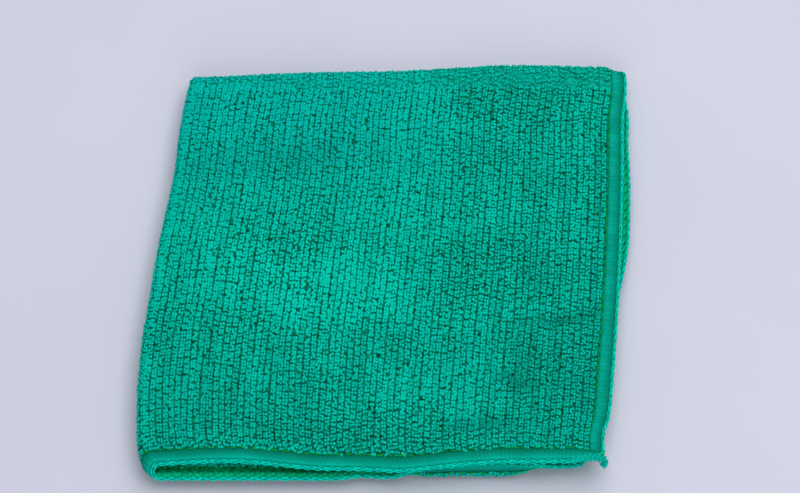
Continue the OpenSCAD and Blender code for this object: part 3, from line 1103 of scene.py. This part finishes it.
def face_relief(t, u, fall, shade, seed):
    """Ribs of the face band's thread, and its painted shade."""
    phase = np.random.default_rng(seed).uniform(0, 2 * PI)
    rib = 0.06 * np.sin(2 * PI * (t + 0.12 * u) / RIB + phase + 0.7 * waves(t, u, seed, 9))
    rib = rib + 0.07 * waves(t, u, seed + 1, 4.5)
    least, more, power = shade
    return rib, least + more * fall ** power + 0 * t


def back_relief(t, u, shade, seed):
    """Stitches of the back band, whose thread sinks between them, and its painted shade, deeper between them.
    """
    stitch = np.cos(2 * PI * (t - 0.25 * u) / STITCH) * hill(u, 2.4, 1.6)
    rib = 0.16 * stitch + 0.05 * np.sin(2 * PI * t / 0.6) + 0.04 * waves(t, u, seed + 1, 3.0) - 0.15
    # More painted shade on the side hems' back bands than on the front ones
    return rib, 0.15 + 1.3 * shade[0] - 0.3 * stitch


def band_piece(name, hem, side, seed):
    """Satin band of looper thread over the hem's face (side 1) or back (side -1)."""
    t = np.arange(hem.start, hem.end, BAND_STEP)
    across = np.linspace(0, 1, BAND_POINTS)
    tt, uu = np.meshgrid(t, BAND_START + (BAND_END - BAND_START) * across, indexing="ij")
    peak = hem.crown
    fall = np.where(across < peak, (peak - across) / peak, (across - peak) / (1 - peak))
    if side > 0:
        rib, painted_thread_shade = face_relief(tt, uu, fall, hem.shade, seed)
    else:
        rib, painted_thread_shade = back_relief(tt, uu, hem.shade, seed)
    strand = 0.5 + 0.5 * waves(tt, 0.15 * uu, seed + 2, 1.0) + 0.35 * waves(tt, uu, seed + 3, 11)
    top_h = (BAND_TOP - BAND_FALL * fall ** 2 + rib) * hem.thick
    # the under side has every other point
    under_u = uu[:, ::-2]
    under_h = np.full(under_u.shape, BAND_UNDER)
    u = np.concatenate([uu, under_u], 1)
    h = np.concatenate([top_h, under_h], 1) * side
    # The band's under side gets full painted shade
    values = {"painted_thread_shade": np.concatenate([np.clip(painted_thread_shade, 0, 1), 0 * under_u + 1], 1).ravel(),
              "strand": np.concatenate([np.clip(strand, 0, 1), 0 * under_u], 1).ravel()}
    return loft_piece(name, hem, t, u, h, LOOPER if side > 0 else BOUNCE_TINTED_LOOPER, values)


def wave_tube(hem, t, u, h, radius, material, painted_thread_shade=0.0, sides=6):
    """A round thread whose centre line is u, h along t."""
    turn = np.arange(sides) * 2 * PI / sides
    uu = u[:, None] + radius * np.cos(turn)[None]
    hh = h[:, None] + radius * np.sin(turn)[None]
    strand = 0.5 + 0.5 * waves(t, 0 * t, len(t), 2.0)
    values = {"painted_thread_shade": np.full(uu.size, painted_thread_shade), "strand": np.repeat(np.clip(strand, 0, 1), sides)}
    return loft_piece("thread", hem, t, uu, hh, material, values)


# Radii of the edge's two wavy threads and of the core between them, a dark tube of painted shade
OUTER_PURL = 0.33
INNER_PURL = 0.20
PURL_CORE = 0.34
PURL_STEP = 0.24


def purl_piece(name, hem, side, seed):
    """Wavy looper threads that lock over the raw edge; side says which face they belong to."""
    t = np.arange(hem.start, hem.end, PURL_STEP)
    phase = 2 * PI * t / STITCH + (0 if side > 0 else PI)
    drift = 0.05 * waves(t, t * 0, seed, 6)
    outer_u = 0.10 + 0.18 * np.cos(phase) + drift
    outer_h = side * hem.thick * (0.40 + 0.12 * np.sin(phase))
    inner_u = 0.55 - 0.10 * np.cos(phase) + drift
    inner_h = side * hem.thick * (0.60 + 0.08 * np.sin(phase + 1))
    core_h = side * hem.thick * 0.22 + 0 * t
    # The inner thread gets a little painted shade, and the core, a dark tube, full painted shade
    parts = [wave_tube(hem, t, outer_u, outer_h, OUTER_PURL, PURL),
             wave_tube(hem, t, inner_u, inner_h, INNER_PURL, PURL, 0.15),
             wave_tube(hem, t, 0.46 + 0 * t, core_h, PURL_CORE, BOUNCE_TINTED_LOOPER, 1.0)]
    return merged(name, parts)


def lumps_piece(name, hem, t, u, h, half_sizes, turn, material, seed):
    """A row of closed rounded lumps of thread, one at each t, turned in the hem's plane."""
    shape = TUFT[0]
    half_t, half_u, half_h = half_sizes
    rng = np.random.default_rng(seed)
    size = rng.uniform(0.9, 1.1, (len(t), 1))
    a = shape[None, :, 0] * half_t * size
    b = shape[None, :, 1] * half_u * size
    c, s = math.cos(turn), math.sin(turn)
    tt = t[:, None] + a * c - b * s
    uu = u + a * s + b * c + rng.normal(0, 0.04, (len(t), 1))
    # the ends bend down towards the cloth
    hh = h + shape[None, :, 2] * half_h - 0.18 * (a / half_t) ** 2 * np.sign(h)
    return tufts_mesh(name, hem.at(tt, uu, hh), material)


# Lumps of thread on the hems: place from the raw edge, height, half sizes, and turn in radians
FACE_STITCH = (NEEDLE_IN, 0.76, (1.2, 0.27, 0.28), 0.0)
BACK_LOOP = (NEEDLE_IN - 0.4, -0.88, (1.15, 0.52, 0.42), 0.4)
BACK_LUMP = (1.75, -0.90, (1.05, 0.60, 0.40), 0.45)


def stitch_row(name, hem, lump, material, seed):
    """One lump of thread for each stitch of a hem."""
    t = np.arange(hem.start + STITCH / 2, hem.end - STITCH / 4, STITCH)
    u, h, half_sizes, turn = lump
    return lumps_piece(name, hem, t, u, h * hem.thick, half_sizes, turn, material, seed)


def needle_piece(name, hem, seed):
    """Needle stitches: a row of dashes on the face, and a row of small loops on the back."""
    face = stitch_row(name, hem, FACE_STITCH, NEEDLE, seed)
    back = stitch_row(name, hem, BACK_LOOP, NEEDLE, seed + 1)
    return merged(name, [face, back])


def face_piece(name, hem, seed):
    """Face side of a hem: its satin band and its wavy edge thread."""
    band = band_piece(name, hem, 1, seed)
    edge = purl_piece(name, hem, 1, seed + 2)
    return merged(name, [band, edge])


def back_piece(name, hem, seed):
    """Back side of a hem: its band, one lump of thread a stitch, and its wavy edge thread."""
    band = band_piece(name, hem, -1, seed)
    lumps = stitch_row(name, hem, BACK_LUMP, BACK_BUMP, seed)
    edge = purl_piece(name, hem, -1, seed + 2)
    return merged(name, [band, lumps, edge])


def make_hem(prefix, hem, seed):
    """A hem's three pieces, by thread."""
    return {
        "needle_thread": needle_piece(f"{prefix}_needle_stitches", hem, seed),
        "face_looper": face_piece(f"{prefix}_face_band", hem, seed + 3),
        "back_looper": back_piece(f"{prefix}_back_band", hem, seed + 7),
    }


# ---- thread tails


CHAIN_STATIONS = 90
CHAIN_SMOOTHING = 12
CHAIN_SIDES = 7
# Shares of a chain's radius: its strands' swing sideways and up, and their own radius
STRAND_SIDEWAYS = 0.52
STRAND_UP = 0.40
STRAND_RADIUS = 0.54
# Thickness of a chain's start, against its thickest part
CHAIN_START = 0.55


def chain_piece(name, path, radius, twists, material):
    """A chain of three threads plaited round a path of points."""
    path = np.array(path, float)
    knots = np.linspace(0, 1, len(path))
    t = np.linspace(0, 1, CHAIN_STATIONS)
    # a smooth line through the points, by repeated averaging
    line = np.stack([np.interp(t, knots, path[:, k]) for k in range(3)], -1)
    for _ in range(CHAIN_SMOOTHING):
        line[1:-1] = (line[:-2] + 2 * line[1:-1] + line[2:]) / 4
    ahead = np.gradient(line, axis=0)
    ahead /= np.linalg.norm(ahead, axis=1, keepdims=True)
    side = np.cross(ahead, [0.1, 0.2, 1.0])
    side /= np.linalg.norm(side, axis=1, keepdims=True)
    up = np.cross(side, ahead)
    taper = CHAIN_START + (1 - CHAIN_START) * np.sin(0.8 * PI * t) ** 0.5
    parts = []
    turn = np.arange(CHAIN_SIDES) * 2 * PI / CHAIN_SIDES
    for strand in range(3):
        a = 2 * PI * (twists * t + strand / 3)
        offset_s = radius * STRAND_SIDEWAYS * np.sin(a) * taper
        offset_u = radius * STRAND_UP * np.sin(2 * a) * taper
        centre = line + side * offset_s[:, None] + up * offset_u[:, None]
        thread = (radius * STRAND_RADIUS * taper)[:, None, None]
        ring = side[:, None] * np.cos(turn)[None, :, None] + up[:, None] * np.sin(turn)[None, :, None]
        points = (centre[:, None] + thread * ring).reshape(-1, 3)
        _, corners, sizes = tube_faces(len(t), CHAIN_SIDES)
        parts.append(mesh_object(name, points, corners, sizes, material))
    return merged(name, parts)


def make_tails():
    """The overlock's thread tails: a chain curled over the top corner, and one on the second layer's.

    Each path starts on its hem, at the height of the cloth's middle there.
    """
    z = towel_point(np.array(OUTER_EDGE), np.array(UPPER_END))[2]
    tail_top = chain_piece("corner_chain_top", [
        (57.2, -75.7, z), (59.8, -75.5, z + 0.7), (63.0, -75.1, z + 1.0), (65.6, -75.1, z + 1.0),
        (68.0, -75.7, z + 0.8), (68.6, -76.6, z), (67.6, -77.2, z - 1.1),
    ], 1.35, 3.5, PURL)
    z = towel_point(np.array(INNER_EDGE), np.array(UPPER_END))[2]
    tail_second = chain_piece("corner_chain_second", [
        (53.0, -75.2, z), (57.0, -75.6, z + 0.3), (60.4, -75.0, z + 0.3),
        (61.2, -74.0, z - 0.8), (59.0, -74.2, z - 1.4), (55.5, -74.8, z - 1.6),
    ], 0.9, 3, PURL)
    return tail_top, tail_second


# ---- set


def make_floor():
    """The table top that the towel lies on."""
    bpy.ops.mesh.primitive_grid_add(size=6, x_subdivisions=2, y_subdivisions=2)
    floor = bpy.context.object
    floor.name = "table_top"
    floor.data.materials.append(floor_material())


# Soft boxes that face the towel: name, place, size, power and colour
LIGHTS = (
    ("key_light", (0.20, -0.02, 1.05), 0.9, 5.8, (1.0, 0.985, 0.97)),
    ("back_light", (0.15, 0.78, 0.58), 0.6, 2.2, (0.94, 0.965, 1.0)),
    ("front_light", (0.0, -1.60, 0.90), 1.2, 11.0, (0.98, 1.0, 1.0)),
)
ROOM_COLOUR = (0.90, 0.92, 1.0, 1)
ROOM_STRENGTH = 0.33


def make_lights():
    """The soft boxes, and the room's even light."""
    for name, place, size, power, colour in LIGHTS:
        light = bpy.data.lights.new(name, "AREA")
        light.size = size
        light.energy = power
        light.color = colour
        lamp = bpy.data.objects.new(name, light)
        lamp.location = place
        lamp.rotation_euler = (-Vector(place)).to_track_quat("-Z", "Y").to_euler()
        bpy.context.scene.collection.objects.link(lamp)
    world = bpy.data.worlds.new("soft_room")
    world.use_nodes = True
    world.node_tree.nodes["Background"].inputs["Color"].default_value = ROOM_COLOUR
    world.node_tree.nodes["Background"].inputs["Strength"].default_value = ROOM_STRENGTH
    bpy.context.scene.world = world
    bpy.context.scene.view_settings.view_transform = "Standard"


# The photo's camera: where it looks, how high it stands over that, how far away, and its lens
CAMERA_TARGET = (0.0022, 0.0072, 0.0088)
CAMERA_HEIGHT = math.radians(58.3)
CAMERA_DISTANCE = 1.2
CAMERA_LENS = 160.65


def make_camera():
    """A camera straight in front of the towel, looking down on it."""
    camera = bpy.data.cameras.new("camera")
    camera.lens = CAMERA_LENS
    camera.clip_start = 0.05
    holder = bpy.data.objects.new("camera", camera)
    back = Vector((0, -math.cos(CAMERA_HEIGHT), math.sin(CAMERA_HEIGHT)))
    holder.location = Vector(CAMERA_TARGET) + back * CAMERA_DISTANCE
    holder.rotation_euler = (math.radians(90) - CAMERA_HEIGHT, 0, 0)
    bpy.context.scene.collection.objects.link(holder)
    bpy.context.scene.camera = holder


# ---- build

make_camera()
make_lights()
make_floor()


def bend(piece):
    """Bakes the piece's place into its mesh; it stays on neither half."""
    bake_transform(piece)


ground = make_ground()
for half in ("upper", "lower"):
    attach(ground[half], f"{half}_half")
bend(ground["back_fold"])
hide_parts("top_layer", "second_layer", "side_fold_upper")
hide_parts("third_layer", "bottom_layer", "side_fold_lower")
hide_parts("outer_back_fold_upper", "outer_back_fold_lower",
            "inner_back_fold_upper", "inner_back_fold_lower")

pile = {
    "upper": make_half_pile("upper", UPPER_END - PILE_IN, 100)
    + make_back_pile("upper", UPPER_END - PILE_IN, 180),
    "lower": make_half_pile("lower", LOWER_END + PILE_IN, 200)
    + make_back_pile("lower", LOWER_END + PILE_IN, 280),
    "turn": make_turn_pile(300),
}
for half in ("upper", "lower"):
    for piece in pile[half]:
        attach(piece, f"{half}_half")
for piece in pile["turn"]:
    bend(piece)

HEM_PIECES = {"upper": [], "lower": [], "turn": []}


def place_hem(pieces, half, *node_prefixes):
    """Puts a hem's three pieces on their half, each in place of its CAD threads."""
    for thread, piece in pieces.items():
        if half == "turn":
            bend(piece)
        else:
            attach(piece, f"{half}_half")
            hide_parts(*[f"{prefix}_{thread}" for prefix in node_prefixes])
        HEM_PIECES[half].append(piece)


# Each half's outer and inner layer
LAYERS = {("upper", False): "top", ("upper", True): "second",
          ("lower", False): "bottom", ("lower", True): "third"}
# A side hem runs this far into the front hem
HEM_OVERLAP = 0.6
# Height of the hems that are pressed flat in the back fold's inner turn
INNER_TURN_HEM = 0.6
for seed, half, sign, end in ((400, "upper", 1, UPPER_END), (440, "lower", -1, LOWER_END)):
    hem = front_hem_strip(end)
    place_hem(make_hem(f"front_hem_{half}", hem, seed), half, f"front_hem_{half}")
    for inner in (False, True):
        prefix = f"side_hem_{LAYERS[half, inner]}"
        hem = side_hem_strip(inner, sign * TURN_END, end - sign * (HEM_W - HEM_OVERLAP))
        place_hem(make_hem(prefix, hem, seed + 15 + 10 * inner), half, prefix)
for inner in (False, True):
    hem = side_hem_strip(inner, -TURN_END, TURN_END, INNER_TURN_HEM if inner else 1.0)
    prefix = f"side_hem_back_fold_{'inner' if inner else 'outer'}"
    place_hem(make_hem(prefix, hem, 480 + 10 * inner), "turn")

tails = make_tails()
for tail, node in zip(tails, ("corner_thread_tail_top", "corner_thread_tail_second")):
    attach(tail, "upper_half")
    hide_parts(node)
